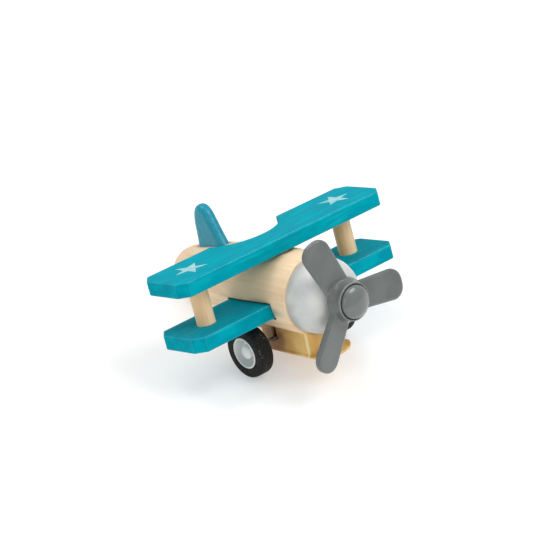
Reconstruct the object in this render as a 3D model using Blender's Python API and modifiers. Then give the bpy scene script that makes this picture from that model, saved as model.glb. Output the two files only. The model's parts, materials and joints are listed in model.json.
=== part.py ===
"""Toy airplane: a small wooden biplane with a pull-back motor.

World axes: +Z up, -Y is the nose, +X is the plane's left wing. The plane stands on its two tyres and
its tail. Two tilted frames carry the parts. Body frame: X across, Y from the nose to the tail along the
fuselage's axis, Z up. Wing frame: the same origin, with the boards' small incidence to the fuselage.
"""

import math

import bmesh
import bpy
from mathutils import Matrix, Vector

MM = 0.001

# Clearances
GLUE_GAP = 0.1 * MM      # faces that are glued or screwed together
RUN_GAP = 0.1 * MM       # a shaft in its hole, on the radius
SLOT_GAP = 0.2 * MM      # boards and casings in their slots
SLOT_FRONT_GAP = 0.55 * MM   # the lower board's slot is a little longer than the board

# Fuselage, a solid of revolution: radius = NOSE_R * (1 - t^2)^FULLNESS
NOSE_R = 15.4 * MM
FACE_Y = -2.2 * MM       # the flat front face
TAIL_Y = 77.5 * MM
FULLNESS = 0.28
FACE_CHAMFER = 0.4 * MM
FUSELAGE_RINGS = 14

# Nose dome
DOME_R = 14.6 * MM
DOME_TIP_Y = -16.9 * MM
DOME_POWER = 0.72
DOME_RINGS = 8

# Boards, in the wing frame
INCIDENCE = math.radians(3.6)
BOARD_T = 5.7 * MM
CHORD = 25.6 * MM
CLIP_X = 3.4 * MM
CLIP_Y = 4.5 * MM
UPPER_SPAN = 100.0 * MM
LOWER_SPAN = 99.2 * MM
UPPER_MID = (0.0, 19.75 * MM, 19.35 * MM)
LOWER_MID = (0.0, 19.40 * MM, -2.05 * MM)
BOARD_EDGE = 0.5 * MM
SCOOP_R = 17.2 * MM
SCOOP_OUT = 5.4 * MM     # the scoop's centre behind the rear edge

# Dowels
STRUT_R = 3.55 * MM
STRUT_X = 35.5 * MM
STRUT_Y = 19.3 * MM
SOCKET_DEPTH = 3.0 * MM
DOWEL_CHAMFER = 0.25 * MM
WING_DOWEL_R = 2.0 * MM
WING_DOWEL_Y = (10.6 * MM, 17.4 * MM)
WING_DOWEL_FOOT = 7.5 * MM

# Tail fin, in the wing frame
FIN_T = 4.8 * MM
FIN_EDGE = 1.9 * MM
FIN_FOOT_Z = 11.5 * MM
FIN_SEAT_Z = 15.2 * MM   # where it leaves the fuselage and starts to curve
FIN_FRONT_Y = 44.8 * MM
FIN_BACK_Y = 61.2 * MM
FIN_OUTLINE = (
    (FIN_FRONT_Y, FIN_FOOT_Z),
    (FIN_FRONT_Y, FIN_SEAT_Z),
    (47.4 * MM, 21.2 * MM),
    (49.4 * MM, 26.4 * MM),
    (51.4 * MM, 30.4 * MM),
    (54.6 * MM, 32.2 * MM),
    (57.4 * MM, 31.0 * MM),
    (59.4 * MM, 27.0 * MM),
    (60.4 * MM, 20.5 * MM),
    (FIN_BACK_Y, FIN_SEAT_Z),
    (FIN_BACK_Y, FIN_FOOT_Z),
)

# Propeller, along its own axis: heights are distances ahead of the body frame's origin
BLADE_ANGLES = (112.5, -7.5, -127.5)
BLADE_TIP_R = 27.6 * MM
BLADE_W = 11.8 * MM
BLADE_ROOT_W = 10.6 * MM
BLADE_T = 2.2 * MM
BLADE_EDGE = 0.8 * MM
BLADE_CORNER = 5.1 * MM
BLADE_H = 18.3 * MM
BLADE_PITCH = math.radians(10.0)
HUB_BACK_H = -DOME_TIP_Y + 0.3 * MM
HUB_RIM_H = 23.7 * MM
HUB_RIM_R = 7.2 * MM
HUB_FLARE_R = 8.6 * MM   # where the blades' roots meet it
HUB_BACK_R = 7.4 * MM
RECESS_R = 6.6 * MM
RECESS_H = 22.4 * MM
CAP_R = 6.24 * MM
CAP_EDGE_H = 23.9 * MM
CAP_TOP_H = 26.3 * MM
PIN_R = 1.25 * MM
PIN_TIP_H = -4.5 * MM
PIN_SHOULDER_H = RECESS_H + 0.2 * MM

# Wheels
AXLE_Y = 17.05 * MM
AXLE_Z = -17.16 * MM
AXLE_R = 0.9 * MM
AXLE_HALF = 22.3 * MM
WHEEL_X = 20.85 * MM
TYRE_R = 9.9 * MM
TYRE_HALF_W = 3.05 * MM
TYRE_SHOULDER = 0.8 * MM
WHEEL_HUB_R = 6.1 * MM
WHEEL_BOSS_R = 2.8 * MM
WHEEL_BOSS_H = 2.5 * MM
WHEEL_WEB_H = -1.3 * MM  # how far the web lies behind the wheel's middle
AXLE_CHAMFER = 0.2 * MM

# Motor casing: its walls reach up to the dome, and a thin foot runs round them and forward
CASE_HALF_W = 8.35 * MM
CASE_BOTTOM_Z = -22.6 * MM
CASE_BACK_Y = 24.5 * MM
CASE_CREASE_Y = -1.0 * MM
CASE_FRONT_Y = -5.0 * MM
CASE_RIM_Z = -10.3 * MM
CASE_WALL = 1.3 * MM
FOOT_OUT = 0.35 * MM
FOOT_CREASE_Y = -4.3 * MM
FOOT_FRONT_Y = -10.4 * MM
FOOT_H = 1.0 * MM
LID_T = 1.2 * MM
LID_FRONT_Y = -1.8 * MM
POCKET_TOP_Z = -8.7 * MM
TAB_HALF_W = 4.5 * MM
TAB_BACK_Y = 32.0 * MM
TAB_T = 2.0 * MM
TAB_EDGE = 0.4 * MM
LID_EDGE = 0.2 * MM
SCREW_FRONT_Y = -6.0 * MM
SCREW_REAR_Y = 28.2 * MM
SCREW_R = 0.8 * MM
SCREW_HEAD_R = 1.7 * MM
SCREW_HEAD_H = 0.9 * MM
SCREW_HEAD_INSET = 1.4 * MM
SCREW_POINT = 1.6 * MM
RECESS_ARM = (1.0 * MM, 0.2 * MM, 0.4 * MM)   # half sizes of each arm of the cross
SCREW_TIP_Z = -8.4 * MM
BOSS_R = 2.6 * MM

# Gear train
MODULE = 0.5 * MM
SMALL_TEETH = 8
LARGE_TEETH = 16
ADDENDUM = 0.8 * MODULE
DEDENDUM = 1.15 * MODULE
TOOTH_TIP_HALF = 0.28 * MODULE
TOOTH_ROOT_HALF = 0.95 * MODULE
GEAR_AXIS_Z = -15.25 * MM
PINION_LOW, PINION_HIGH = -4.9 * MM, -1.3 * MM
LARGE_LOW, LARGE_HIGH = -4.6 * MM, -1.6 * MM
SMALL_LOW, SMALL_HIGH = -1.7 * MM, 1.6 * MM
BARREL_LOW, BARREL_HIGH = -1.0 * MM, 2.4 * MM
DRUM_HIGH = 6.5 * MM
PIN_IN_WALL = 0.7 * MM
ARBOR_R = 0.9 * MM
DRUM_R = 4.2 * MM
DRUM_WALL = 0.45 * MM
SPRING_GAP = 0.3 * MM
SPRING_T = 0.25 * MM
SPRING_TURNS = 3
SPRING_STEPS = 20

# Facets of a turned part
FINE = 40
MEDIUM = 28
COARSE = 16

WOOD = ((0.73, 0.58, 0.38), 0.62, 0.0)
DOWEL = ((0.70, 0.53, 0.33), 0.65, 0.0)
TEAL = ((0.0, 0.33, 0.42), 0.45, 0.0)
TEAL_GLOSS = ((0.01, 0.27, 0.35), 0.28, 0.0)
SILVER = ((0.52, 0.54, 0.55), 0.38, 0.25)
GREY = ((0.17, 0.18, 0.18), 0.42, 0.0)
RUBBER = ((0.02, 0.02, 0.02), 0.85, 0.0)
HUB_PLASTIC = ((0.60, 0.60, 0.58), 0.45, 0.0)
AMBER = ((0.66, 0.42, 0.13), 0.38, 0.0)
WHITE_PLASTIC = ((0.75, 0.73, 0.68), 0.45, 0.0)
STEEL = ((0.45, 0.45, 0.46), 0.32, 1.0)
SPRING_STEEL = ((0.30, 0.32, 0.36), 0.30, 1.0)

for old in list(bpy.data.objects):
    bpy.data.objects.remove(old, do_unlink=True)

parts = bpy.data.collections.new("toy_airplane")
helpers = bpy.data.collections.new("cutters")
for collection in (parts, helpers):
    bpy.context.scene.collection.children.link(collection)


# ---------------------------------------------------------------- helpers

def frame(name, parent=None, location=(0, 0, 0), tilt=0.0):
    """An empty that carries parts, tilted nose-up by tilt."""
    empty = bpy.data.objects.new(name, None)
    empty.empty_display_size = 0.02
    empty.parent = parent
    empty.location = location
    empty.rotation_euler.x = -tilt
    parts.objects.link(empty)
    return empty


def material(name, look):
    colour, roughness, metallic = look
    made = bpy.data.materials.new(name)
    made.use_nodes = True
    made.diffuse_color = (*colour, 1.0)
    shader = made.node_tree.nodes["Principled BSDF"]
    shader.inputs["Base Color"].default_value = (*colour, 1.0)
    shader.inputs["Roughness"].default_value = roughness
    shader.inputs["Metallic"].default_value = metallic
    return made


def add(name, mesh, parent, look=None, location=(0, 0, 0), rotation=(0, 0, 0)):
    """A part where a look is given, and otherwise a helper that only shapes other parts."""
    obj = bpy.data.objects.new(name, mesh)
    obj.parent = parent
    obj.location = location
    obj.rotation_euler = rotation
    mesh.shade_smooth()
    mesh.set_sharp_from_angle(angle=math.radians(35))
    if look:
        parts.objects.link(obj)
        obj.data.materials.append(material(name, look))
    else:
        helpers.objects.link(obj)
        obj.hide_render = True
        obj.display_type = "WIRE"
    return obj


def baked(name, obj):
    """The evaluated mesh of a scratch object, welded, its flat faces merged, and the object removed."""
    bpy.context.scene.collection.objects.link(obj)
    graph = bpy.context.evaluated_depsgraph_get()
    mesh = bpy.data.meshes.new_from_object(obj.evaluated_get(graph))
    bpy.data.objects.remove(obj, do_unlink=True)
    mesh.name = name
    bm = bmesh.new()
    bm.from_mesh(mesh)
    bmesh.ops.remove_doubles(bm, verts=bm.verts, dist=0.001 * MM)
    bmesh.ops.dissolve_limit(bm, angle_limit=math.radians(0.1), verts=bm.verts, edges=bm.edges)
    bmesh.ops.recalc_face_normals(bm, faces=bm.faces)
    bm.to_mesh(mesh)
    bm.free()
    return mesh


def turned(name, profile, steps, ring=False):
    """A solid of revolution about Z. The profile is (radius, height) down its outer side, and a ring's
    profile closes on itself up its bore."""
    edges = [(i, i + 1) for i in range(len(profile) - 1)]
    if ring:
        edges.append((len(profile) - 1, 0))
    outline = bpy.data.meshes.new(name)
    outline.from_pydata([(radius, 0, height) for radius, height in profile], edges, [])
    obj = bpy.data.objects.new(name, outline)
    screw = obj.modifiers.new("Screw", "SCREW")
    screw.steps = screw.render_steps = steps
    screw.use_merge_vertices = True
    screw.merge_threshold = 0.00001
    return baked(name, obj)


def plate(name, outline, thickness, corners=None, resolution=4):
    """A flat shape in XY with its thickness centred on Z. Its sides are straight, unless corners is given:
    then the outline curves through every point but the ones whose numbers are in corners."""
    smooth = corners is not None
    curve = bpy.data.curves.new(name, "CURVE")
    curve.dimensions = "2D"
    curve.fill_mode = "BOTH"
    curve.extrude = thickness / 2
    spline = curve.splines.new("BEZIER" if smooth else "POLY")
    points = spline.bezier_points if smooth else spline.points
    points.add(len(outline) - 1)
    for number, (point, (x, y)) in enumerate(zip(points, outline)):
        if smooth:
            point.co = (x, y, 0)
            handle = "VECTOR" if number in corners else "AUTO"
            point.handle_left_type = point.handle_right_type = handle
        else:
            point.co = (x, y, 0, 1)
    spline.use_cyclic_u = True
    curve.resolution_u = resolution
    return baked(name, bpy.data.objects.new(name, curve))


def block(name, low, high):
    bm = bmesh.new()
    bmesh.ops.create_cube(bm, size=1.0)
    low, high = Vector(low), Vector(high)
    bmesh.ops.scale(bm, vec=high - low, verts=bm.verts)
    bmesh.ops.translate(bm, vec=(low + high) / 2, verts=bm.verts)
    mesh = bpy.data.meshes.new(name)
    bm.to_mesh(mesh)
    bm.free()
    return mesh


def rod(name, radius, low, high, steps=COARSE):
    """A cylinder along Z."""
    return turned(name, [(0, high), (radius, high), (radius, low), (0, low)], steps)


def chamfered_rod(name, radius, low, high, chamfer, steps=MEDIUM):
    """A cylinder along Z with its end edges broken."""
    return turned(
        name,
        [
            (0, high),
            (radius - chamfer, high),
            (radius, high - chamfer),
            (radius, low + chamfer),
            (radius - chamfer, low),
            (0, low),
        ],
        steps,
    )


def boolean(obj, other, operation="DIFFERENCE"):
    modifier = obj.modifiers.new(f"{operation.lower()} {other.name}", "BOOLEAN")
    modifier.operation = operation
    modifier.object = other
    modifier.solver = "EXACT"


def bevel(obj, width, segments, angle=40.0):
    modifier = obj.modifiers.new("Bevel", "BEVEL")
    modifier.width = width
    modifier.segments = segments
    modifier.limit_method = "ANGLE"
    modifier.angle_limit = math.radians(angle)


def arc(centre, radius, start, end, steps):
    """Points on an arc, with its angles in degrees."""
    angles = [math.radians(start + (end - start) * i / steps) for i in range(steps + 1)]
    return [(centre[0] + radius * math.cos(a), centre[1] + radius * math.sin(a)) for a in angles]


# ---------------------------------------------------------------- attitude

def fuselage_section(i):
    """(distance behind the origin, radius) of ring i of the fuselage."""
    turn = math.pi / 2 * i / FUSELAGE_RINGS
    y = FACE_Y + (TAIL_Y - FACE_Y) * math.sin(turn)
    return y, NOSE_R * max(math.cos(turn), 0.0) ** (2 * FULLNESS)


def pitch_to_rest(y, radius):
    """The nose-up pitch at which this ring of the fuselage is as low as the tyres."""
    behind = y - AXLE_Y
    below = -AXLE_Z - radius
    return math.atan2(below, behind) + math.asin(TYRE_R / math.hypot(behind, below))


PITCH = min(pitch_to_rest(*fuselage_section(i)) for i in range(FUSELAGE_RINGS // 2, FUSELAGE_RINGS))
toy = frame("toy_frame")
body = frame("body_frame", toy, tilt=PITCH)
wings = frame("wing_frame", toy, tilt=PITCH + INCIDENCE)

# Rotations that lay a part's own Z along the nose direction, or across the plane.
TO_NOSE = (math.pi / 2, 0, 0)
TO_LEFT = (0, math.pi / 2, 0)
TO_RIGHT = (0, -math.pi / 2, 0)

# ---------------------------------------------------------------- fuselage and nose

profile = [(0, -FACE_Y)]
for i in range(FUSELAGE_RINGS + 1):
    y, radius = fuselage_section(i)
    if i == 0:
        profile.append((radius - FACE_CHAMFER, -y))
        y += FACE_CHAMFER
    profile.append((radius, -y))
fuselage = add("fuselage", turned("fuselage", profile, FINE), body, WOOD, rotation=TO_NOSE)


def dome_profile(inner_r, grow=0.0):
    """The dome's (radius, height) from its tip to its flat back, grown all over by grow."""
    back_h = -FACE_Y + GLUE_GAP - grow
    points = [(inner_r, grow - DOME_TIP_Y)]
    for i in range(1, DOME_RINGS + 1):
        turn = math.pi / 2 * (1 - i / DOME_RINGS)
        radius = (DOME_R + grow) * math.cos(turn) ** DOME_POWER
        height = back_h + (grow - DOME_TIP_Y - back_h) * math.sin(turn) ** DOME_POWER
        points.append((radius, height))
    return points + [(inner_r, back_h)]


nose_dome = add(
    "nose_dome",
    turned("nose_dome", dome_profile(PIN_R + RUN_GAP), FINE, ring=True),
    body,
    SILVER,
    rotation=TO_NOSE,
)

# ---------------------------------------------------------------- boards

def board_outline(span, scoop):
    """Clipped-corner outline, nose edge at -Y, with the rear scoop if asked."""
    half, front, rear = span / 2, -CHORD / 2, CHORD / 2
    outline = [(-half, front + CLIP_Y), (-half + CLIP_X, front), (half - CLIP_X, front)]
    outline += [(half, front + CLIP_Y), (half, rear - CLIP_Y), (half - CLIP_X, rear)]
    if scoop:
        lean = math.degrees(math.asin(SCOOP_OUT / SCOOP_R))
        outline += arc((0, rear + SCOOP_OUT), SCOOP_R, -lean, lean - 180, 16)
    outline += [(-half + CLIP_X, rear), (-half, rear - CLIP_Y)]
    return outline


upper_wing = add(
    "upper_wing", plate("upper_wing", board_outline(UPPER_SPAN, True), BOARD_T), wings, TEAL, UPPER_MID
)
lower_wing = add(
    "lower_wing", plate("lower_wing", board_outline(LOWER_SPAN, False), BOARD_T), wings, TEAL, LOWER_MID
)
for board in (upper_wing, lower_wing):
    bevel(board, BOARD_EDGE, 2)

upper_underside = UPPER_MID[2] - BOARD_T / 2
lower_topside = LOWER_MID[2] + BOARD_T / 2
socket_low = lower_topside - SOCKET_DEPTH
socket_high = upper_underside + SOCKET_DEPTH
for side, x in (("left", STRUT_X), ("right", -STRUT_X)):
    socket = add(
        f"strut_socket_{side}",
        rod("socket", STRUT_R + GLUE_GAP, socket_low, socket_high, MEDIUM),
        wings,
        location=(x, STRUT_Y, 0),
    )
    boolean(upper_wing, socket)
    boolean(lower_wing, socket)
    add(
        f"strut_{side}",
        chamfered_rod("strut", STRUT_R, socket_low + GLUE_GAP, socket_high - GLUE_GAP, DOWEL_CHAMFER),
        wings,
        DOWEL,
        location=(x, STRUT_Y, 0),
    )

# The lower board passes through the fuselage, and the upper one rests on a flat milled in its top.
slot_half = BOARD_T / 2 + SLOT_GAP
slot = add(
    "board_slot",
    block(
        "slot",
        (-2 * NOSE_R, -CHORD / 2 - SLOT_FRONT_GAP, -slot_half),
        (2 * NOSE_R, CHORD / 2 + SLOT_GAP, slot_half),
    ),
    wings,
    location=LOWER_MID,
)
seat = add(
    "board_seat",
    block(
        "seat",
        (-NOSE_R, -CHORD / 2 - SLOT_GAP, -BOARD_T / 2 - GLUE_GAP),
        (NOSE_R, CHORD / 2 + SLOT_GAP, BOARD_T),
    ),
    wings,
    location=UPPER_MID,
)
boolean(fuselage, slot)
boolean(fuselage, seat)

for place, y in zip(("front", "rear"), WING_DOWEL_Y):
    hole = add(
        f"wing_dowel_hole_{place}",
        rod("hole", WING_DOWEL_R + GLUE_GAP, WING_DOWEL_FOOT - GLUE_GAP, socket_high + GLUE_GAP),
        wings,
        location=(0, y, 0),
    )
    boolean(fuselage, hole)
    boolean(upper_wing, hole)
    add(
        f"wing_dowel_{place}",
        chamfered_rod("wing_dowel", WING_DOWEL_R, WING_DOWEL_FOOT, socket_high, DOWEL_CHAMFER, COARSE),
        wings,
        DOWEL,
        location=(0, y, 0),
    )

# ---------------------------------------------------------------- tail fin

# The outline is drawn in XY, then stood up: its X becomes the frame's Y and its Y becomes Z.
STAND_UP = (Matrix.Rotation(math.pi / 2, 4, "Z") @ Matrix.Rotation(math.pi / 2, 4, "X")).to_euler()
last = len(FIN_OUTLINE) - 1
fin_mesh = plate("tail_fin", FIN_OUTLINE, FIN_T, corners=(0, 1, last - 1, last))
tail_fin = add("tail_fin", fin_mesh, wings, TEAL_GLOSS, rotation=STAND_UP)
bevel(tail_fin, FIN_EDGE, 3)
fin_slot = add(
    "fin_slot",
    block(
        "fin_slot",
        (-FIN_T / 2 - SLOT_GAP, FIN_FRONT_Y - 2 * SLOT_GAP, FIN_FOOT_Z - 2 * SLOT_GAP),
        (FIN_T / 2 + SLOT_GAP, FIN_BACK_Y + 2 * SLOT_GAP, NOSE_R * 1.5),
    ),
    wings,
)
boolean(fuselage, fin_slot)

# ---------------------------------------------------------------- propeller

bore = PIN_R + RUN_GAP
hub_profile = [
    (RECESS_R, HUB_RIM_H),
    (HUB_RIM_R - 0.15 * MM, HUB_RIM_H),
    (HUB_RIM_R, HUB_RIM_H - 0.2 * MM),
    (HUB_RIM_R + 0.1 * MM, HUB_RIM_H - 1.8 * MM),
    (HUB_RIM_R + 0.5 * MM, HUB_RIM_H - 3.0 * MM),
    (HUB_FLARE_R - 0.2 * MM, BLADE_H + 1.0 * MM),
    (HUB_FLARE_R, BLADE_H),
    (HUB_BACK_R + 0.6 * MM, HUB_BACK_H + 0.4 * MM),
    (HUB_BACK_R, HUB_BACK_H),
    (bore, HUB_BACK_H),
    (bore, RECESS_H),
    (RECESS_R, RECESS_H),
]
propeller = add(
    "propeller", turned("propeller", hub_profile, MEDIUM, ring=True), body, GREY, rotation=TO_NOSE
)
root_x = HUB_RIM_R - 1.5 * MM
corner_x = BLADE_TIP_R - BLADE_CORNER
corner_y = BLADE_W / 2 - BLADE_CORNER
blade_outline = [(root_x, -BLADE_ROOT_W / 2)]
blade_outline += arc((corner_x, -corner_y), BLADE_CORNER, -90, 0, 6)
blade_outline += arc((corner_x, corner_y), BLADE_CORNER, 0, 90, 6)
blade_outline += [(root_x, BLADE_ROOT_W / 2)]
for number, angle in enumerate(BLADE_ANGLES, 1):
    turn = Matrix.Rotation(math.radians(angle), 4, "Z") @ Matrix.Rotation(-BLADE_PITCH, 4, "X")
    blade = add(
        f"blade_{number}",
        plate("blade", blade_outline, BLADE_T),
        propeller,
        location=(0, 0, BLADE_H),
        rotation=turn.to_euler(),
    )
    bevel(blade, BLADE_EDGE, 2)
    boolean(propeller, blade, "UNION")

pin_profile = [(0, CAP_TOP_H)]
for x, y in arc((0, 0), 1.0, 75, 0, 5):
    pin_profile.append((CAP_R * x, CAP_EDGE_H + (CAP_TOP_H - CAP_EDGE_H) * y))
pin_profile += [
    (CAP_R, PIN_SHOULDER_H + 0.3 * MM),
    (CAP_R - 0.3 * MM, PIN_SHOULDER_H),
    (PIN_R, PIN_SHOULDER_H),
    (PIN_R, PIN_TIP_H + 0.8 * MM),
    (0.4 * MM, PIN_TIP_H),
    (0, PIN_TIP_H),
]
add("propeller_pin", turned("propeller_pin", pin_profile, MEDIUM), body, GREY, rotation=TO_NOSE)
pin_hole = add(
    "pin_hole", rod("pin_hole", bore, PIN_TIP_H - GLUE_GAP, -FACE_Y + 1.0 * MM), body, rotation=TO_NOSE
)
boolean(fuselage, pin_hole)

# ---------------------------------------------------------------- motor casing

pocket = add(
    "motor_pocket",
    block(
        "pocket",
        (-CASE_HALF_W - SLOT_GAP, FACE_Y - 2.0 * MM, -2 * NOSE_R),
        (CASE_HALF_W + SLOT_GAP, CASE_BACK_Y + SLOT_GAP, POCKET_TOP_Z),
    ),
    body,
)
boolean(fuselage, pocket)


def case_outline(half, crease_y, front_y, back_y):
    """Straight sides and back, with a round front that meets the sides at a crease."""
    reach = crease_y - front_y
    radius = (half * half + reach * reach) / (2 * reach)
    centre_y = front_y + radius
    lean = math.degrees(math.asin((centre_y - crease_y) / radius))
    return arc((0, centre_y), radius, lean - 180, -lean, 14) + [(half, back_y), (-half, back_y)]


def case_layer(name, outline, low, high, look=None):
    return add(name, plate(name, outline, high - low), body, look, location=(0, 0, (low + high) / 2))


walls_outline = case_outline(CASE_HALF_W, CASE_CREASE_Y, CASE_FRONT_Y, CASE_BACK_Y)
foot_outline = case_outline(
    CASE_HALF_W + FOOT_OUT, FOOT_CREASE_Y, FOOT_FRONT_Y, CASE_BACK_Y + FOOT_OUT
)
cavity_outline = case_outline(
    CASE_HALF_W - CASE_WALL, CASE_CREASE_Y, CASE_FRONT_Y + CASE_WALL, CASE_BACK_Y - CASE_WALL
)
floor_z = CASE_BOTTOM_Z + CASE_WALL
overlap = 0.5 * MM
belly_z = -fuselage_section(FUSELAGE_RINGS // 4)[1] - SLOT_GAP
motor_tub = case_layer("motor_tub", walls_outline, CASE_BOTTOM_Z, CASE_RIM_Z, AMBER)
foot = case_layer("case_foot", foot_outline, CASE_BOTTOM_Z, CASE_BOTTOM_Z + FOOT_H)
cavity = case_layer("case_cavity", cavity_outline, floor_z, 0.0)
tab = add(
    "case_tab",
    block(
        "tab",
        (-TAB_HALF_W, CASE_BACK_Y - overlap, belly_z - TAB_T),
        (TAB_HALF_W, TAB_BACK_Y, belly_z),
    ),
    body,
)
bevel(tab, TAB_EDGE, 1)
boss = add(
    "case_boss",
    rod("boss", BOSS_R, floor_z - overlap, CASE_RIM_Z, COARSE),
    body,
    location=(0, SCREW_FRONT_Y, 0),
)
dome_clearance = add(
    "dome_clearance",
    turned("dome_clearance", dome_profile(0, SLOT_GAP), FINE),
    body,
    rotation=TO_NOSE,
)
boolean(motor_tub, foot, "UNION")
boolean(motor_tub, tab, "UNION")
boolean(motor_tub, cavity)
boolean(motor_tub, boss, "UNION")
boolean(motor_tub, dome_clearance)

# The axle drops into a round-ended slot in each side wall.
slot_r = AXLE_R + RUN_GAP
axle_slot_outline = arc((0, 0), slot_r, -180, 0, 10)
axle_slot_outline += [(slot_r, -AXLE_Z), (-slot_r, -AXLE_Z)]
axle_slot = add(
    "axle_slot",
    plate("axle_slot", axle_slot_outline, 3 * CASE_HALF_W),
    body,
    location=(0, AXLE_Y, AXLE_Z),
    rotation=STAND_UP,
)
boolean(motor_tub, axle_slot)

motor_lid = add(
    "motor_lid",
    block(
        "lid",
        (-CASE_HALF_W, LID_FRONT_Y, CASE_RIM_Z + GLUE_GAP),
        (CASE_HALF_W, CASE_BACK_Y, CASE_RIM_Z + GLUE_GAP + LID_T),
    ),
    body,
    AMBER,
)
bevel(motor_lid, LID_EDGE, 1)


def wood_screw(name, y, seat_z):
    """A pan-head screw driven upwards, its head under seat_z, in its own hole through every part."""
    head_low = seat_z - SCREW_HEAD_H
    profile = [
        (0, SCREW_TIP_Z),
        (SCREW_R, SCREW_TIP_Z - SCREW_POINT),
        (SCREW_R, seat_z - GLUE_GAP),
        (SCREW_HEAD_R, seat_z - GLUE_GAP),
        (SCREW_HEAD_R, head_low + 0.3 * MM),
        (SCREW_HEAD_R - 0.4 * MM, head_low),
        (0, head_low),
    ]
    screw = add(name, turned(name, profile, COARSE), body, STEEL, location=(0, y, 0))
    for turn in (0.0, math.pi / 2):
        recess = add(
            f"{name}_recess_{round(math.degrees(turn))}",
            block("recess", -Vector(RECESS_ARM), RECESS_ARM),
            screw,
            location=(0, 0, head_low),
            rotation=(0, 0, turn),
        )
        boolean(screw, recess)
    hole_profile = [
        (0, SCREW_TIP_Z + GLUE_GAP),
        (SCREW_R + RUN_GAP, SCREW_TIP_Z + GLUE_GAP),
        (SCREW_R + RUN_GAP, seat_z),
        (SCREW_HEAD_R + SLOT_GAP, seat_z),
        (SCREW_HEAD_R + SLOT_GAP, CASE_BOTTOM_Z - 1.0 * MM),
        (0, CASE_BOTTOM_Z - 1.0 * MM),
    ]
    hole = add(f"{name}_hole", turned("hole", hole_profile, COARSE), body, location=(0, y, 0))
    boolean(motor_tub, hole)
    return hole


screw_front_hole = wood_screw("motor_screw_front", SCREW_FRONT_Y, CASE_BOTTOM_Z + SCREW_HEAD_INSET)
screw_rear_hole = wood_screw("motor_screw_rear", SCREW_REAR_Y, belly_z - TAB_T)
boolean(nose_dome, screw_front_hole)
boolean(fuselage, screw_rear_hole)

# ---------------------------------------------------------------- axle and wheels

add(
    "drive_axle",
    chamfered_rod("drive_axle", AXLE_R, -AXLE_HALF, AXLE_HALF, AXLE_CHAMFER, COARSE),
    body,
    STEEL,
    location=(0, AXLE_Y, AXLE_Z),
    rotation=TO_LEFT,
)
axle_bore = AXLE_R + GLUE_GAP
hub_back_h = -TYRE_HALF_W + 0.3 * MM
sleeve_back_h = -TYRE_HALF_W - 1.0 * MM
hub_front_h = TYRE_HALF_W + 0.05 * MM
wheel_hub_profile = [
    (0, WHEEL_BOSS_H),
    (WHEEL_BOSS_R - 0.45 * MM, WHEEL_BOSS_H - 0.1 * MM),
    (WHEEL_BOSS_R - 0.1 * MM, WHEEL_BOSS_H - 0.5 * MM),
    (WHEEL_BOSS_R, WHEEL_WEB_H),
    (WHEEL_HUB_R - 0.9 * MM, WHEEL_WEB_H),
    (WHEEL_HUB_R - 0.65 * MM, WHEEL_WEB_H + 0.3 * MM),
    (WHEEL_HUB_R - 0.6 * MM, hub_front_h),
    (WHEEL_HUB_R - 0.1 * MM, hub_front_h),
    (WHEEL_HUB_R, hub_front_h - 0.15 * MM),
    (WHEEL_HUB_R, hub_back_h),
    (WHEEL_BOSS_R - 0.5 * MM, hub_back_h),
    (WHEEL_BOSS_R - 0.7 * MM, sleeve_back_h),
    (axle_bore, sleeve_back_h),
    (axle_bore, AXLE_HALF - WHEEL_X + GLUE_GAP),
    (0, AXLE_HALF - WHEEL_X + GLUE_GAP),
]
tyre_bore = WHEEL_HUB_R + GLUE_GAP
tyre_profile = [
    (tyre_bore, TYRE_HALF_W),
    (TYRE_R - TYRE_SHOULDER, TYRE_HALF_W),
    (TYRE_R - 0.25 * TYRE_SHOULDER, TYRE_HALF_W - 0.35 * TYRE_SHOULDER),
    (TYRE_R, TYRE_HALF_W - TYRE_SHOULDER),
    (TYRE_R, TYRE_SHOULDER - TYRE_HALF_W),
    (TYRE_R - 0.25 * TYRE_SHOULDER, 0.35 * TYRE_SHOULDER - TYRE_HALF_W),
    (TYRE_R - TYRE_SHOULDER, -TYRE_HALF_W),
    (tyre_bore, -TYRE_HALF_W),
]
for side, x, turn in (("left", WHEEL_X, TO_LEFT), ("right", -WHEEL_X, TO_RIGHT)):
    centre = (x, AXLE_Y, AXLE_Z)
    hub_mesh = turned("wheel_hub", wheel_hub_profile, MEDIUM)
    add(f"wheel_hub_{side}", hub_mesh, body, HUB_PLASTIC, centre, turn)
    tyre_mesh = turned("tyre", tyre_profile, FINE, ring=True)
    add(f"tyre_{side}", tyre_mesh, body, RUBBER, centre, turn)

# ---------------------------------------------------------------- gear train

def gear_outline(teeth, phase):
    """Straight-flanked teeth with backlash. The phase is the angle, in degrees, of one tooth."""
    tip_r = MODULE * teeth / 2 + ADDENDUM
    root_r = MODULE * teeth / 2 - DEDENDUM
    outline = []
    for tooth in range(teeth):
        centre = math.radians(phase + 360 * tooth / teeth)
        for radius, offset in (
            (root_r, -TOOTH_ROOT_HALF),
            (tip_r, -TOOTH_TIP_HALF),
            (tip_r, TOOTH_TIP_HALF),
            (root_r, TOOTH_ROOT_HALF),
        ):
            angle = centre + offset / radius
            outline.append((radius * math.cos(angle), radius * math.sin(angle)))
    return outline


def gear(name, teeth, phase, low, high, look=None, location=(0, 0, 0)):
    """A gear on the X axis. Its outline's X runs along the frame's Y, and its Y runs up."""
    mesh = plate(name, gear_outline(teeth, phase), high - low)
    for vertex in mesh.vertices:
        vertex.co.z += (low + high) / 2
    return add(name, mesh, body, look, location, STAND_UP)


small_r = MODULE * SMALL_TEETH / 2
large_r = MODULE * LARGE_TEETH / 2
centre_distance = small_r + large_r
rise = GEAR_AXIS_Z - AXLE_Z
drive_y = AXLE_Y - math.sqrt(centre_distance ** 2 - rise ** 2)
barrel_y = drive_y - centre_distance
drive_centre = (0, drive_y, GEAR_AXIS_Z)
barrel_centre = (0, barrel_y, GEAR_AXIS_Z)
towards_drive = math.degrees(math.atan2(rise, drive_y - AXLE_Y))
half_tooth = 180 / LARGE_TEETH

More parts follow.
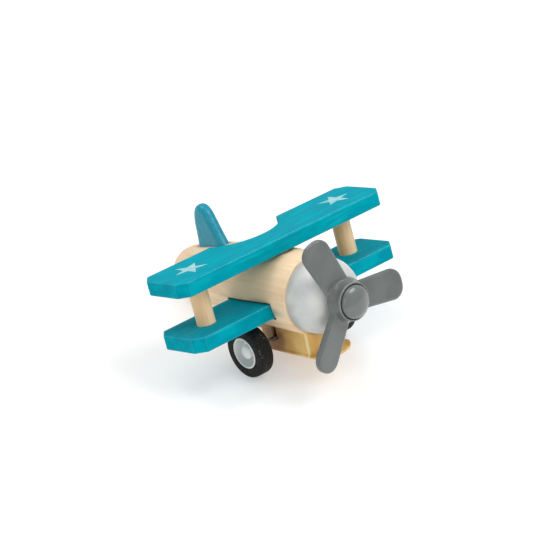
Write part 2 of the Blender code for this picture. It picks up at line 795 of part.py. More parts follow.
axle_pinion = gear(
    "axle_pinion", SMALL_TEETH, towards_drive, PINION_LOW, PINION_HIGH, WHITE_PLASTIC, (0, AXLE_Y, AXLE_Z)
)
axle_hole = add(
    "pinion_bore",
    rod("pinion_bore", axle_bore, -CASE_HALF_W, CASE_HALF_W),
    body,
    location=(0, AXLE_Y, AXLE_Z),
    rotation=TO_LEFT,
)
boolean(axle_pinion, axle_hole)

drive_gear = gear(
    "drive_gear",
    LARGE_TEETH,
    towards_drive + 180 + half_tooth,
    LARGE_LOW,
    LARGE_HIGH,
    WHITE_PLASTIC,
    drive_centre,
)
drive_small = gear("drive_gear_small", SMALL_TEETH, 180, SMALL_LOW, SMALL_HIGH, None, drive_centre)
boolean(drive_gear, drive_small, "UNION")

barrel_gear = gear(
    "barrel_gear", LARGE_TEETH, half_tooth, BARREL_LOW, BARREL_HIGH, WHITE_PLASTIC, barrel_centre
)
drum = add(
    "barrel_drum",
    rod("drum", DRUM_R, BARREL_HIGH - overlap, DRUM_HIGH, MEDIUM),
    body,
    location=barrel_centre,
    rotation=TO_LEFT,
)
drum_hollow = add(
    "barrel_hollow",
    rod("hollow", DRUM_R - DRUM_WALL, BARREL_HIGH + DRUM_WALL, DRUM_HIGH + overlap, MEDIUM),
    body,
    location=barrel_centre,
    rotation=TO_LEFT,
)
boolean(barrel_gear, drum, "UNION")
boolean(barrel_gear, drum_hollow)

# Both pins sit in blind holes in the casing's side walls, and the gears run on them.
pin_half = CASE_HALF_W - CASE_WALL + PIN_IN_WALL
for name, centre, runs_on in (
    ("drive_gear_pin", drive_centre, drive_gear),
    ("spring_arbor", barrel_centre, barrel_gear),
):
    add(
        name,
        chamfered_rod(name, ARBOR_R, -pin_half + GLUE_GAP, pin_half - GLUE_GAP, AXLE_CHAMFER, COARSE),
        body,
        STEEL,
        centre,
        TO_LEFT,
    )
    hole = add(
        f"{name}_hole",
        rod("hole", ARBOR_R + RUN_GAP, -pin_half, pin_half),
        body,
        location=centre,
        rotation=TO_LEFT,
    )
    boolean(runs_on, hole)
    boolean(motor_tub, hole)


def spiral_outline():
    """Both sides of a flat strip wound from the arbor to the drum's wall."""
    inner = ARBOR_R + SPRING_GAP
    outer = DRUM_R - DRUM_WALL - SPRING_GAP - SPRING_T
    count = SPRING_TURNS * SPRING_STEPS
    inside, outside = [], []
    for i in range(count + 1):
        angle = 2 * math.pi * i / SPRING_STEPS
        radius = inner + (outer - inner) * i / count
        inside.append((radius * math.cos(angle), radius * math.sin(angle)))
        radius += SPRING_T
        outside.append((radius * math.cos(angle), radius * math.sin(angle)))
    return inside + outside[::-1]


spring_low = BARREL_HIGH + DRUM_WALL + SPRING_GAP
spring_high = DRUM_HIGH - SPRING_GAP
spring_mesh = plate("mainspring", spiral_outline(), spring_high - spring_low)
for vertex in spring_mesh.vertices:
    vertex.co.z += (spring_low + spring_high) / 2
add("mainspring", spring_mesh, body, SPRING_STEEL, barrel_centre, STAND_UP)

# ---------------------------------------------------------------- stand on the floor, centred

bpy.context.view_layer.update()
graph = bpy.context.evaluated_depsgraph_get()
corners = []
for obj in parts.objects:
    if obj.type == "MESH":
        evaluated = obj.evaluated_get(graph)
        corners += [evaluated.matrix_world @ vertex.co for vertex in evaluated.data.vertices]
ys = [corner.y for corner in corners]
toy.location = (0, -(min(ys) + max(ys)) / 2, -min(corner.z for corner in corners))
bpy.context.view_layer.update()
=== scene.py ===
"""Looks for the toy airplane: painted and bare wood, moulded plastic, rubber and steel, with a soft studio.

The world's axes are the row frame's. Three more frames start at the propeller's centre, with X across the
plane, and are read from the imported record. The body frame has Y from the nose to the tail along the
fuselage's axis. The wing frame has Z square to the boards' tops. The spin frame has Z along the
propeller's axis, towards the nose.
"""

import json
import math

import bmesh
import bpy
from mathutils import Matrix, Vector

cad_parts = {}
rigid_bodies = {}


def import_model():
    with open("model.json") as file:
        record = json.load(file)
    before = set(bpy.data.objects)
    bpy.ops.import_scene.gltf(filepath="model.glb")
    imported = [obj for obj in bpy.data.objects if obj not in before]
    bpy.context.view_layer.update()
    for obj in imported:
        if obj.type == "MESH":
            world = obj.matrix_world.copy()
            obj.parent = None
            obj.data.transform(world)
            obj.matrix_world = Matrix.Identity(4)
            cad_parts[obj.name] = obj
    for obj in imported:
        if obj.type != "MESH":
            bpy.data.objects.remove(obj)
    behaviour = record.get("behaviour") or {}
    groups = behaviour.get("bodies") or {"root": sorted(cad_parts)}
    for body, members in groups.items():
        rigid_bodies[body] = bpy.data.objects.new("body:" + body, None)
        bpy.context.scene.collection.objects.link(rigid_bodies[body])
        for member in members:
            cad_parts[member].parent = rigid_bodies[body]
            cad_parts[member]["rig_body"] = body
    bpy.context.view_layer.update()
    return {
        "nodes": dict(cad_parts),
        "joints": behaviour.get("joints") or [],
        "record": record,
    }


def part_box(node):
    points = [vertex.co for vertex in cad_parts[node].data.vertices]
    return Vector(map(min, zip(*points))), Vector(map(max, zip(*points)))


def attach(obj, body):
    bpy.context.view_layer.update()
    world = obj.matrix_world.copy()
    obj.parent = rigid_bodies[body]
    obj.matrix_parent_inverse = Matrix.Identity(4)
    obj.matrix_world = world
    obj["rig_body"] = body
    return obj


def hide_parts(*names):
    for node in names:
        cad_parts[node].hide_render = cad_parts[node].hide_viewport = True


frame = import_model()

MM = 0.001
joints = {joint["name"]: joint for joint in frame["joints"]}
mounts = {mount["name"]: mount for mount in frame["record"]["mounts"]}


def axes(across, up, origin):
    """A frame's matrix from its X and Z directions and its origin."""
    x, z = Vector(across).normalized(), Vector(up).normalized()
    matrix = Matrix((x, z.cross(x), z)).transposed().to_4x4()
    matrix.translation = origin
    return matrix


ACROSS = Vector((1, 0, 0))
NOSE = Vector(joints["propeller_spin"]["axis"])
PROPELLER = Vector(joints["propeller_spin"]["pos_m"])
AXLE = Vector(joints["axle_spin"]["pos_m"])
BODY = axes(ACROSS, NOSE.cross(ACROSS), PROPELLER)
WING = axes(ACROSS, mounts["upper_wing_top"]["axis"], PROPELLER)
SPIN = axes(ACROSS, NOSE, PROPELLER)
WING_TOP = WING.inverted() @ Vector(mounts["upper_wing_top"]["pos_m"])


# ---------------------------------------------------------------- material graphs

SLOT_LINE = 0.9 * MM     # how far the dark line of painted shadow and glue round the board's slot reaches
# the colour of the painted shadow and glue in the slot's gap
SLOT_SHADE_AND_GLUE_COLOUR = (0.03, 0.02, 0.015)
CREASE_BACK = 17.3 * MM  # from the propeller's centre back to the crease in each side of the casing
FLAT_DOT = 0.99          # rounded and true normals agree this closely on a flat face
EDGE_DOT = 0.84          # and this poorly along an edge


class Look:
    """A Principled material and short calls that add nodes to it. Vectors are positions in metres in the
    frame that the look was made with."""

    def __init__(self, name, matrix, colour, roughness, metallic=0.0):
        self.material = bpy.data.materials.new(name)
        self.material.use_nodes = True
        self.material.diffuse_color = (*colour, 1.0)
        self.tree = self.material.node_tree
        self.shader = self.tree.nodes["Principled BSDF"]
        self.set("Base Color", (*colour, 1.0))
        self.set("Roughness", roughness)
        self.set("Metallic", metallic)
        self.position = self.position_in(matrix)
        self.rounded = None

    def set(self, socket, value):
        """Sets a shader socket to a constant, or links a node's output to it."""
        self.feed(self.shader.inputs[socket], value)

    def feed(self, socket, value):
        if isinstance(value, bpy.types.NodeSocket):
            self.tree.links.new(value, socket)
        else:
            socket.default_value = value

    def position_in(self, matrix):
        """The position in the frame that this matrix places in the world."""
        local = matrix.inverted()
        mapping = self.tree.nodes.new("ShaderNodeMapping")
        mapping.inputs["Location"].default_value = local.translation
        mapping.inputs["Rotation"].default_value = local.to_euler()
        self.feed(mapping.inputs["Vector"], self.tree.nodes.new("ShaderNodeTexCoord").outputs["Object"])
        return mapping.outputs["Vector"]

    def stretched(self, scale, shift=(0, 0, 0)):
        """The position scaled along each axis, so that a texture has its own grain direction."""
        node = self.tree.nodes.new("ShaderNodeMapping")
        self.feed(node.inputs["Vector"], self.position)
        node.inputs["Scale"].default_value = scale
        node.inputs["Location"].default_value = shift
        return node.outputs["Vector"]

    def noise(self, vector, scale=1.0, detail=4.0, roughness=0.55, distortion=0.0):
        node = self.tree.nodes.new("ShaderNodeTexNoise")
        self.feed(node.inputs["Vector"], vector)
        node.inputs["Scale"].default_value = scale
        node.inputs["Detail"].default_value = detail
        node.inputs["Roughness"].default_value = roughness
        node.inputs["Distortion"].default_value = distortion
        return node.outputs["Fac"]

    def cells(self, vector, scale=1.0):
        """Distance to the nearest random point, for specks and pits."""
        node = self.tree.nodes.new("ShaderNodeTexVoronoi")
        self.feed(node.inputs["Vector"], vector)
        node.inputs["Scale"].default_value = scale
        return node.outputs["Distance"]

    def spread(self, value, low, high, to_low=0.0, to_high=1.0):
        """Maps low..high onto to_low..to_high, smoothly, and clamps outside."""
        node = self.tree.nodes.new("ShaderNodeMapRange")
        node.interpolation_type = "SMOOTHSTEP"
        self.feed(node.inputs["Value"], value)
        node.inputs["From Min"].default_value = low
        node.inputs["From Max"].default_value = high
        node.inputs["To Min"].default_value = to_low
        node.inputs["To Max"].default_value = to_high
        return node.outputs["Result"]

    def math(self, operation, a, b=0.0):
        node = self.tree.nodes.new("ShaderNodeMath")
        node.operation = operation
        self.feed(node.inputs[0], a)
        self.feed(node.inputs[1], b)
        return node.outputs["Value"]

    def mix(self, factor, a, b):
        """Blends two colours."""
        node = self.tree.nodes.new("ShaderNodeMix")
        node.data_type = "RGBA"
        self.feed(node.inputs["Factor"], factor)
        for name, value in (("A", a), ("B", b)):
            socket = next(s for s in node.inputs if s.name == name and s.type == "RGBA")
            self.feed(socket, value if isinstance(value, bpy.types.NodeSocket) else (*value, 1.0))
        return next(s for s in node.outputs if s.type == "RGBA")

    def part(self, axis, vector=None):
        """One coordinate of the position."""
        node = self.tree.nodes.new("ShaderNodeSeparateXYZ")
        self.feed(node.inputs["Vector"], vector or self.position)
        return node.outputs[axis]

    def edges(self, width):
        """1 on sharp edges and 0 on faces, within this width."""
        self.rounded = self.tree.nodes.new("ShaderNodeBevel")
        self.rounded.samples = 8
        self.rounded.inputs["Radius"].default_value = width
        geometry = self.tree.nodes.new("ShaderNodeNewGeometry")
        dot = self.tree.nodes.new("ShaderNodeVectorMath")
        dot.operation = "DOT_PRODUCT"
        self.feed(dot.inputs[0], self.rounded.outputs["Normal"])
        self.feed(dot.inputs[1], geometry.outputs["Normal"])
        return self.spread(dot.outputs["Value"], FLAT_DOT, EDGE_DOT)

    def outside(self, low, high):
        """The distance from a box of the wing frame that is endless across, measured along and up."""
        place = self.position_in(WING)
        squares = []
        for axis, index in (("Y", 1), ("Z", 2)):
            middle, half = (low[index] + high[index]) / 2, (high[index] - low[index]) / 2
            off = self.math("SUBTRACT", self.part(axis, place), middle)
            beyond = self.math("MAXIMUM", self.math("SUBTRACT", self.math("ABSOLUTE", off), half), 0.0)
            squares.append(self.math("MULTIPLY", beyond, beyond))
        return self.math("SQRT", self.math("ADD", *squares))

    def from_axle(self):
        """The distance from the wheels' axle, in the body frame."""
        axle = BODY.inverted() @ AXLE
        offs = [self.math("SUBTRACT", self.part("Y"), axle.y), self.math("SUBTRACT", self.part("Z"), axle.z)]
        return self.math("SQRT", self.math("ADD", *[self.math("MULTIPLY", off, off) for off in offs]))

    def bump(self, height, distance, strength=1.0):
        """Surface relief, laid over the rounded edges where edges() was called."""
        node = self.tree.nodes.new("ShaderNodeBump")
        node.inputs["Distance"].default_value = distance
        node.inputs["Strength"].default_value = strength
        self.feed(node.inputs["Height"], height)
        if self.rounded:
            self.feed(node.inputs["Normal"], self.rounded.outputs["Normal"])
        self.set("Normal", node.outputs["Normal"])


def painted_wood(name, colour, light, dark, roughness, matrix=WING, edge=0.7 * MM, shine=0.01):
    """Thin paint over close-grained wood: faint grain along the board, mottling, specks, and worn edges
    whose pale band is partly a painted highlight.
    """
    look = Look(name, matrix, colour, roughness)
    look.set("Specular IOR Level", shine)
    fine = look.noise(look.stretched((60, 1400, 1400)), detail=5)
    blotch = look.noise(look.stretched((90, 260, 260), (3, 1, 2)), detail=3)
    grit = look.noise(look.stretched((900, 1500, 1500)), detail=3)
    base = look.mix(look.spread(blotch, 0.35, 0.68), dark, colour)
    base = look.mix(look.spread(fine, 0.50, 0.78, 0.0, 0.24), base, light)
    base = look.mix(look.spread(fine, 0.42, 0.28, 0.0, 0.32), base, dark)
    # pale edges: primer where the paint is rubbed through, and a painted highlight along the edges
    wear_and_highlight = look.math("MULTIPLY", look.edges(edge), look.spread(grit, 0.30, 0.60, 0.35, 1.0))
    primer_and_highlight = tuple(c + 0.45 * (0.9 - c) for c in light)
    base = look.mix(look.math("MULTIPLY", wear_and_highlight, 0.75), base, primer_and_highlight)
    specks = look.spread(look.cells(look.stretched((1, 1, 1)), 420), 0.10, 0.04)
    rare = look.spread(look.noise(look.position, 300, 1), 0.62, 0.68)
    base = look.mix(look.math("MULTIPLY", look.math("MULTIPLY", specks, rare), 0.7), base, light)
    look.set("Base Color", base)
    look.set("Roughness", look.spread(blotch, 0.3, 0.7, roughness - 0.06, roughness + 0.10))
    height = look.math("ADD", look.math("MULTIPLY", fine, 0.7), look.math("MULTIPLY", grit, 0.3))
    look.bump(height, 0.10 * MM, 0.55)
    return look.material


def bare_wood(name, pale, warm, dark, matrix, grain=(1500, 45, 1500), edge=0.5 * MM, joint=None):
    """Sanded beech or birch: fine pores along the grain, soft bands and warmer broken edges. Where a board
    passes through it, joint is the board's box in the wing frame, and a dark line of painted shadow and glue
    runs round the slot."""
    look = Look(name, matrix, warm, 0.58)
    pores = look.noise(look.stretched(grain), detail=6, roughness=0.65)
    bands = look.noise(look.stretched(tuple(s * 0.16 for s in grain), (5, 2, 7)), detail=3, distortion=0.6)
    clouds = look.noise(look.position, 70, 2)
    flecks = look.noise(look.stretched(tuple(s * 0.55 for s in grain), (1, 9, 4)), detail=2)
    base = look.mix(look.spread(bands, 0.34, 0.66), warm, pale)
    base = look.mix(look.spread(clouds, 0.40, 0.70, 0.0, 0.45), base, warm)
    base = look.mix(look.spread(pores, 0.52, 0.78, 0.0, 0.48), base, dark)
    base = look.mix(look.spread(flecks, 0.62, 0.72, 0.0, 0.42), base, dark)
    base = look.mix(look.math("MULTIPLY", look.edges(edge), 0.35), base, dark)
    if joint:
        # painted shadow of the gap round the slot, with glue: a dark line
        slot_shade_line = look.spread(look.outside(*joint), SLOT_LINE, 0.3 * SLOT_LINE)
        base = look.mix(slot_shade_line, base, SLOT_SHADE_AND_GLUE_COLOUR)
    look.set("Base Color", base)
    look.set("Roughness", look.spread(pores, 0.3, 0.75, 0.50, 0.68))
    look.bump(pores, 0.06 * MM, 0.45)
    return look.material


def silver_paint(name):
    """Pearl silver paint over the turned dome: fine flake, faint turning rings, soft blotches."""
    look = Look(name, SPIN, (0.62, 0.64, 0.65), 0.42, 0.12)
    look.set("Coat Weight", 0.2)
    look.set("Coat Roughness", 0.18)
    flake = look.noise(look.position, 5200, 2)
    blotch = look.noise(look.position, 110, 3)
    rings = look.noise(look.part("Z"), 2600, 2)
    base = look.mix(look.spread(blotch, 0.25, 0.80), (0.55, 0.57, 0.565), (0.68, 0.69, 0.66))
    base = look.mix(look.spread(flake, 0.62, 0.80, 0.0, 0.5), base, (0.82, 0.83, 0.84))
    look.set("Base Color", base)
    look.set("Roughness", look.spread(blotch, 0.3, 0.7, 0.34, 0.50))
    height = look.math("ADD", look.math("MULTIPLY", blotch, 0.8), look.math("MULTIPLY", rings, 0.1))
    look.bump(height, 0.25 * MM, 0.5)
    return look.material


def moulded(name, colour, light, dark, roughness, matrix=BODY, grain=2600, edge=0.5 * MM, gloss=0.0):
    """Moulded plastic: fine spark texture, slow tone drift, and edges rubbed lighter, partly wear and partly
    a painted highlight.
    """
    look = Look(name, matrix, colour, roughness)
    look.set("Coat Weight", gloss)
    look.set("Coat Roughness", 0.15)
    spark = look.noise(look.position, grain, 3)
    drift = look.noise(look.position, 95, 2)
    base = look.mix(look.spread(drift, 0.35, 0.70), dark, colour)
    base = look.mix(look.spread(spark, 0.60, 0.80, 0.0, 0.25), base, light)
    # pale edges: rubbing wear, and a painted highlight along the edges
    pale_edges = look.math("MULTIPLY", look.edges(edge), look.spread(spark, 0.25, 0.60, 0.5, 0.9))
    look.set("Base Color", look.mix(pale_edges, base, light))
    look.set("Roughness", look.spread(drift, 0.3, 0.7, roughness - 0.05, roughness + 0.08))
    look.bump(spark, 0.03 * MM, 0.5)
    return look.material


def amber_plastic(name):
    """Thin translucent amber casing: light scatters in it, painted shade darkens it towards the axle, a
    painted highlight runs pale down the crease in each side, and its edges are rubbed pale, partly wear and
    partly painted highlight."""
    amber, pale, shade_brown = (0.74, 0.43, 0.10), (0.97, 0.77, 0.36), (0.36, 0.12, 0.014)
    shade_deep, wear_and_highlight = (0.17, 0.050, 0.008), (1.0, 0.80, 0.42)
    look = Look(name, BODY, amber, 0.36)
    look.set("Subsurface Weight", 0.25)
    look.set("Subsurface Radius", (1.0, 0.5, 0.15))
    look.set("Subsurface Scale", 1.5 * MM)
    look.set("Coat Weight", 0.15)
    look.set("Coat Roughness", 0.2)
    axle_y = (BODY.inverted() @ AXLE).y
    from_crease = look.math("ABSOLUTE", look.math("SUBTRACT", look.part("Y"), CREASE_BACK))
    swirl = look.noise(look.position, 130, 3, distortion=0.8)
    spark = look.noise(look.position, 2400, 3)
    # painted shade: the casing turns brown from 16 mm ahead of the axle backwards
    rear_shade = look.spread(look.part("Y"), axle_y - 16 * MM, axle_y - 1 * MM)
    base = look.mix(look.spread(swirl, 0.35, 0.70, 0.0, 0.5), amber, pale)
    base = look.mix(look.math("MULTIPLY", rear_shade, 0.55), base, shade_brown)
    # painted shade: darker still within 7 mm of the axle
    axle_shade = look.spread(look.from_axle(), 7 * MM, 3 * MM)
    base = look.mix(look.math("MULTIPLY", axle_shade, 0.7), base, shade_deep)
    # painted highlight: a pale line down the crease in each side; the edges get a pale band, partly wear and
    # partly painted highlight
    crease_highlight = look.spread(from_crease, 0.8 * MM, 0.2 * MM)
    pale_edges = look.math("MAXIMUM", look.edges(0.6 * MM), crease_highlight)
    base = look.mix(look.math("MULTIPLY", pale_edges, 0.7), base, wear_and_highlight)
    look.set("Base Color", base)
    look.set("Roughness", look.spread(swirl, 0.3, 0.7, 0.30, 0.42))
    look.bump(spark, 0.03 * MM, 0.5)
    return look.material


def rubber(name):
    """Matte black rubber with a dusty, pitted tread."""
    look = Look(name, axes(ACROSS, (0, 0, 1), AXLE), (0.018, 0.018, 0.019), 0.78)
    look.set("Specular IOR Level", 0.25)
    pits = look.cells(look.position, 1500)
    dust = look.noise(look.position, 1300, 4, 0.7)
    patch = look.noise(look.position, 160, 2)
    dusty = look.math("MULTIPLY", look.spread(dust, 0.50, 0.70), look.spread(patch, 0.35, 0.65, 0.3, 1.0))
    base = look.mix(look.math("MULTIPLY", dusty, 0.7), (0.006, 0.006, 0.006), (0.14, 0.13, 0.12))
    pale_edges = look.math("MULTIPLY", look.edges(0.5 * MM), 0.25)
    look.set("Base Color", look.mix(pale_edges, base, (0.09, 0.09, 0.09)))
    look.set("Roughness", look.spread(dust, 0.3, 0.7, 0.66, 0.88))
    look.bump(look.math("ADD", pits, dust), 0.10 * MM, 0.6)
    return look.material


def drawn_steel(name, matrix, grain, colour=(0.55, 0.55, 0.56), roughness=0.3):
    """Bare steel with fine drawing lines and darker oily patches."""
    look = Look(name, matrix, colour, roughness, 1.0)
    lines = look.noise(look.stretched(grain), detail=4)
    oil = look.noise(look.position, 350, 3)
    dark = tuple(c * 0.45 for c in colour)
    base = look.mix(look.spread(oil, 0.35, 0.75), colour, dark)
    look.set("Base Color", look.mix(look.spread(lines, 0.45, 0.75, 0.0, 0.5), base, dark))
    look.set("Roughness", look.spread(lines, 0.3, 0.7, roughness - 0.08, roughness + 0.15))
    look.bump(lines, 0.02 * MM, 0.5)
    return look.material


def star_paint(name):
    """Thin pale print, with the teal showing through where it is worn."""
    look = Look(name, WING, (0.70, 0.78, 0.78), 0.5)
    look.set("Specular IOR Level", 0.02)
    grit = look.noise(look.stretched((500, 1500, 1500)), detail=4)
    clouds = look.noise(look.position, 500, 3)
    base = look.mix(look.spread(clouds, 0.35, 0.70), (0.25, 0.53, 0.56), (0.40, 0.65, 0.67))
    base = look.mix(look.spread(grit, 0.60, 0.74, 0.0, 0.55), base, (0.10, 0.50, 0.56))
    base = look.mix(look.math("MULTIPLY", look.edges(0.45 * MM), 0.85), base, (0.90, 0.94, 0.94))
    look.set("Base Color", base)
    look.set("Roughness", look.spread(clouds, 0.3, 0.7, 0.42, 0.60))
    look.bump(grit, 0.05 * MM, 0.5)
    return look.material


# ---------------------------------------------------------------- CAD nodes and their looks

TEAL, TEAL_LIGHT, TEAL_DARK = (0.0, 0.340, 0.425), (0.04, 0.54, 0.61), (0.0, 0.270, 0.355)
FIN, FIN_LIGHT, FIN_DARK = (0.0, 0.265, 0.365), (0.02, 0.50, 0.60), (0.0, 0.225, 0.325)
GREY, GREY_LIGHT, GREY_DARK = (0.128, 0.144, 0.140), (0.42, 0.45, 0.44), (0.105, 0.119, 0.115)
PIN, PIN_LIGHT, PIN_DARK = (0.150, 0.168, 0.162), (0.46, 0.49, 0.48), (0.125, 0.141, 0.136)


def board_box(node):
    """The lowest and highest corners of a board in the wing frame."""
    local = WING.inverted()
    corners = [local @ vertex.co for vertex in frame["nodes"][node].data.vertices]
    return [Vector([pick(corner[i] for corner in corners) for i in range(3)]) for pick in (min, max)]


looks = {
    "fuselage": bare_wood(
        "fuselage_wood", (0.88, 0.68, 0.46), (0.79, 0.56, 0.34), (0.52, 0.30, 0.15), BODY,
        joint=board_box("lower_wing"),
    ),
    "nose_dome": silver_paint("pearl_silver"),
    "upper_wing": painted_wood("upper_wing_teal", TEAL, TEAL_LIGHT, TEAL_DARK, 0.5),
    "lower_wing": painted_wood("lower_wing_teal", TEAL, TEAL_LIGHT, TEAL_DARK, 0.5),
    # the fin's wide pale edge band is a painted highlight along its rounded front edge, over some wear
    "tail_fin": painted_wood(
        "tail_fin_teal", FIN, FIN_LIGHT, FIN_DARK, 0.28, edge=1.3 * MM, shine=0.35
    ),
    # the propeller's 1.2 mm pale edge band is a painted highlight along the blades' edges
    "propeller": moulded(
        "propeller_grey", GREY, GREY_LIGHT, GREY_DARK, 0.36, SPIN, edge=1.2 * MM, gloss=0.35
    ),
    "propeller_pin": moulded("pin_grey", PIN, PIN_LIGHT, PIN_DARK, 0.24, SPIN, gloss=0.4),
    "motor_tub": amber_plastic("casing_amber"),
    "motor_lid": amber_plastic("lid_amber"),
    "drive_axle": drawn_steel("axle_steel", BODY, (60, 4000, 4000), (0.42, 0.42, 0.43)),
    "mainspring": drawn_steel("spring_blue_steel", BODY, (4000, 300, 300), (0.30, 0.33, 0.40), 0.25),
}
strut_grain = (1300, 1300, 70)
for node in ("strut_left", "strut_right", "wing_dowel_front", "wing_dowel_rear"):
    looks[node] = bare_wood(
        f"{node}_wood", (0.97, 0.69, 0.42), (0.91, 0.57, 0.30), (0.60, 0.31, 0.13), WING, strut_grain
    )
for node in ("wheel_hub_left", "wheel_hub_right"):
    looks[node] = moulded(
        f"{node}_plastic", (0.76, 0.77, 0.74), (0.94, 0.94, 0.92), (0.68, 0.69, 0.66), 0.38, edge=0.5 * MM
    )
for node in ("tyre_left", "tyre_right"):
    looks[node] = rubber(f"{node}_rubber")
for node in ("axle_pinion", "drive_gear", "barrel_gear"):
    looks[node] = moulded(
        f"{node}_plastic", (0.74, 0.72, 0.66), (0.88, 0.87, 0.82), (0.64, 0.61, 0.54), 0.40, edge=0.2 * MM
    )
for node in ("drive_gear_pin", "spring_arbor"):
    looks[node] = drawn_steel(f"{node}_steel", BODY, (60, 4000, 4000))
for node in ("motor_screw_front", "motor_screw_rear"):
    looks[node] = drawn_steel(f"{node}_steel", BODY, (3000, 3000, 300), (0.60, 0.58, 0.52))

for node, obj in frame["nodes"].items():
    obj.data.materials.clear()
    obj.data.materials.append(looks[node])


# ---------------------------------------------------------------- moulded and turned forms at full detail

SHARP = math.radians(28)


def piece_from(node, mesh):
    """A piece that stands in for a CAD node, on the same body and with the same material slot."""
    mesh.materials.clear()
    mesh.materials.append(looks[node])
    obj = bpy.data.objects.new(f"{node}_form", mesh)
    bpy.context.scene.collection.objects.link(obj)
    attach(obj, frame["nodes"][node]["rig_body"])
    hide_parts(node)


def turned_form(node):
    """The CAD node's facets shaded as one smooth surface between its real edges."""
    bm = bmesh.new()
    bm.from_mesh(frame["nodes"][node].data)
    bmesh.ops.remove_doubles(bm, verts=bm.verts, dist=0.001 * MM)
    mesh = bpy.data.meshes.new(f"{node}_form")
    bm.to_mesh(mesh)
    bm.free()
    mesh.shade_smooth()
    mesh.set_sharp_from_angle(angle=SHARP)
    piece_from(node, mesh)


def eased_form(node, voxel, rounds):
    """A CAD node remeshed finely, with its corners eased as a mould or a sander leaves them."""
    obj = bpy.data.objects.new(f"{node}_scratch", frame["nodes"][node].data.copy())
    bpy.context.scene.collection.objects.link(obj)
    remesh = obj.modifiers.new("Remesh", "REMESH")
    remesh.mode = "VOXEL"
    remesh.voxel_size = voxel
    smooth = obj.modifiers.new("Smooth", "SMOOTH")
    smooth.factor = 0.5
    smooth.iterations = rounds
    graph = bpy.context.evaluated_depsgraph_get()
    mesh = bpy.data.meshes.new_from_object(obj.evaluated_get(graph))
    bpy.data.objects.remove(obj)
    mesh.shade_smooth()
    piece_from(node, mesh)


eased = {"propeller": (0.21 * MM, 12), "tail_fin": (0.22 * MM, 16), "motor_tub": (0.2 * MM, 3)}
for node, (voxel, rounds) in eased.items():
    eased_form(node, voxel, rounds)
for node in (
    "fuselage", "nose_dome", "propeller_pin", "strut_left", "strut_right", "drive_axle",
    "wheel_hub_left", "wheel_hub_right", "tyre_left", "tyre_right",
):
    turned_form(node)


# ---------------------------------------------------------------- painted stars

STAR_POINTS = 5
STAR_OUTER = 6.5 * MM
STAR_INNER = 2.55 * MM
STAR_X = 35.8 * MM
STAR_BACK = 0.15 * MM
PAINT_T = 0.03 * MM


def star(name, side):
    """A flat five-pointed star in thin paint on the upper wing's top, one point towards the wing's tip."""
    bm = bmesh.new()
    rim = []
    for i in range(2 * STAR_POINTS):
        radius = STAR_INNER if i % 2 else STAR_OUTER
        angle = math.pi * i / STAR_POINTS + (0 if side > 0 else math.pi)
        rim.append(bm.verts.new((radius * math.cos(angle), radius * math.sin(angle), 0)))
    face = bm.faces.new(rim)
    raised = bmesh.ops.extrude_face_region(bm, geom=[face])
    tops = [v for v in raised["geom"] if isinstance(v, bmesh.types.BMVert)]
    bmesh.ops.translate(bm, vec=(0, 0, PAINT_T), verts=tops)
    bmesh.ops.recalc_face_normals(bm, faces=bm.faces)
    bmesh.ops.triangulate(bm, faces=bm.faces)
    board_middle = (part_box("upper_wing")[0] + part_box("upper_wing")[1]) / 2
    centre = WING.inverted() @ board_middle
    place = WING @ Matrix.Translation((side * STAR_X, centre.y + STAR_BACK, WING_TOP.z))
    bmesh.ops.transform(bm, matrix=place, verts=bm.verts)
    mesh = bpy.data.meshes.new(name)
    bm.to_mesh(mesh)
    bm.free()
    mesh.materials.append(star_material)
    obj = bpy.data.objects.new(name, mesh)
    bpy.context.scene.collection.objects.link(obj)
    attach(obj, "airframe")
    return obj


star_material = star_paint("star_print")
star("star_left", 1)
star("star_right", -1)

# ---------------------------------------------------------------- studio

FLOOR_SIZE = 12.0
LIT_POINT = Vector((0, 0, 0.03))


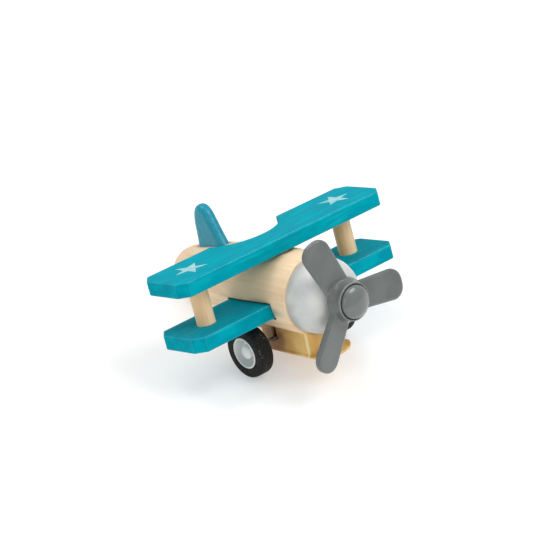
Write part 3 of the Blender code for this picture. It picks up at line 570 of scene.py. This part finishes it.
def studio_floor():
    """A pale matte floor that glows a little, so that it goes to white away from the plane's shadow."""
    bm = bmesh.new()
    bmesh.ops.create_grid(bm, x_segments=8, y_segments=8, size=FLOOR_SIZE / 2)
    mesh = bpy.data.meshes.new("floor")
    bm.to_mesh(mesh)
    bm.free()
    look = Look("floor_white", Matrix.Identity(4), (0.64, 0.64, 0.64), 0.9)
    look.set("Specular IOR Level", 0.0)
    look.set("Emission Color", (1.0, 1.0, 1.0, 1.0))
    look.set("Emission Strength", 0.38)
    mesh.materials.append(look.material)
    obj = bpy.data.objects.new("floor", mesh)
    bpy.context.scene.collection.objects.link(obj)


def softbox(name, location, size, watts):
    """A round soft light, a few tens of centimetres off, turned to the plane's middle."""
    light = bpy.data.lights.new(name, "AREA")
    light.shape = "DISK"
    light.size = size
    light.energy = watts
    obj = bpy.data.objects.new(name, light)
    obj.location = location
    obj.rotation_euler = (LIT_POINT - Vector(location)).to_track_quat("-Z", "Y").to_euler()
    bpy.context.scene.collection.objects.link(obj)


def white_world(strength):
    world = bpy.data.worlds.new("studio_white")
    world.use_nodes = True
    background = world.node_tree.nodes["Background"]
    background.inputs["Color"].default_value = (1, 1, 1, 1)
    background.inputs["Strength"].default_value = strength
    bpy.context.scene.world = world


studio_floor()
white_world(0.58)
softbox("key", (0.25, -0.35, 0.75), size=0.5, watts=3.6)
softbox("fill", (-0.75, -0.45, 0.45), size=0.6, watts=0.9)
softbox("top", (-0.1, 0.35, 0.8), size=0.5, watts=2.5)
bpy.context.scene.view_settings.view_transform = "Standard"

# ---------------------------------------------------------------- camera

CAMERA_AZIMUTH = math.radians(-42.28)
CAMERA_ELEVATION = math.radians(33.98)
CAMERA_ROLL = math.radians(0.6)
CAMERA_DISTANCE = 0.8708
CAMERA_LENS = 151.5
AIM = Vector((1.0 * MM, -4.2 * MM, 27.8 * MM))

back = Vector((
    math.sin(CAMERA_AZIMUTH) * math.cos(CAMERA_ELEVATION),
    -math.cos(CAMERA_AZIMUTH) * math.cos(CAMERA_ELEVATION),
    math.sin(CAMERA_ELEVATION),
))
camera_data = bpy.data.cameras.new("camera")
camera_data.lens = CAMERA_LENS
camera_data.clip_start = 0.01
camera = bpy.data.objects.new("camera", camera_data)
camera.location = AIM + back * CAMERA_DISTANCE
aim = (-back).to_track_quat("-Z", "Y").to_matrix() @ Matrix.Rotation(CAMERA_ROLL, 3, "Z")
camera.rotation_euler = aim.to_euler()
bpy.context.scene.collection.objects.link(camera)
bpy.context.scene.camera = camera
